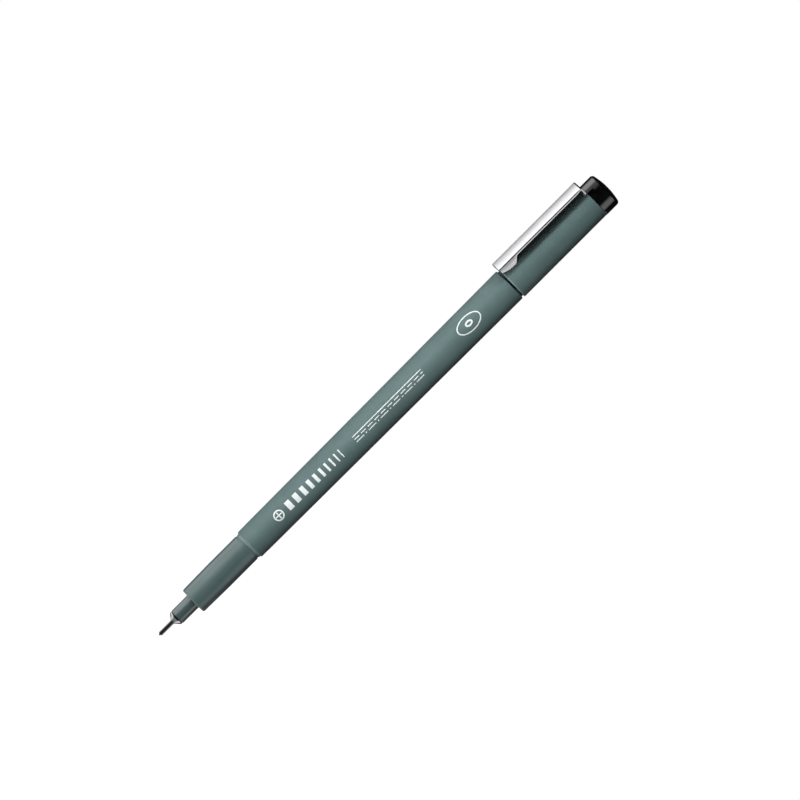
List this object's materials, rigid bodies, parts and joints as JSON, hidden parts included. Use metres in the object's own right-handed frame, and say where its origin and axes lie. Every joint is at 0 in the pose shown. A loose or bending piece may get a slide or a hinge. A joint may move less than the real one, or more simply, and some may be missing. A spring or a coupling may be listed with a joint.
{
  "type": "technical pen",
  "caption": "Drafting fineliner with a steel-sleeved fibre nib, slim grip, tapered barrel and a clip cap pushed onto its rear end.",
  "frame": {"origin": "on the pen's axis, in the middle of the grip's cylindrical land", "axes": "+Z along the pen from the nib towards the cap, -Y towards the pocket clip, +X completes the right-handed frame"},
  "size_m": [0.0096, 0.0112, 0.1568],
  "materials": {
    "grey_plastic": "satin",
    "black_plastic": "gloss",
    "liner_plastic": "satin",
    "bright_steel": "polished",
    "clip_steel": "satin",
    "nib_fibre": "matte",
    "ink_fibre": "matte",
    "white_print": "satin",
    "clear_film": "gloss"
  },
  "bodies": {
    "pen": {"fibre_nib": "nib_fibre", "nib_sleeve": "bright_steel", "nose_piece": "grey_plastic", "grip_section": "grey_plastic", "feed_wick": "ink_fibre", "ink_reservoir": "ink_fibre", "reservoir_film": "clear_film", "barrel": "grey_plastic", "rear_plug": "black_plastic"},
    "cap_liner": {"inner_cap": "liner_plastic"},
    "cap": {"cap_shell": "grey_plastic", "cap_end_plug": "black_plastic"},
    "clip": {"pocket_clip": "clip_steel"}
  },
  "joints": [
    {"name": "cap_slide", "type": "slide", "parent": "pen", "child": "cap_liner", "axis": [0, 0, 1], "range_m": [0, 0.04]},
    {"name": "cap_turn", "type": "hinge", "parent": "cap_liner", "child": "cap", "pos_m": [0, 0, 0.11954], "axis": [0, 0, 1], "continuous": true},
    {"name": "clip_flex", "type": "hinge", "parent": "cap", "child": "clip", "pos_m": [0, -0.0059, 0.12555], "axis": [-1, 0, 0], "range_deg": [0, 5], "stiffness_Nm_per_rad": 0.9, "springref_deg": -1.72}
  ]
}
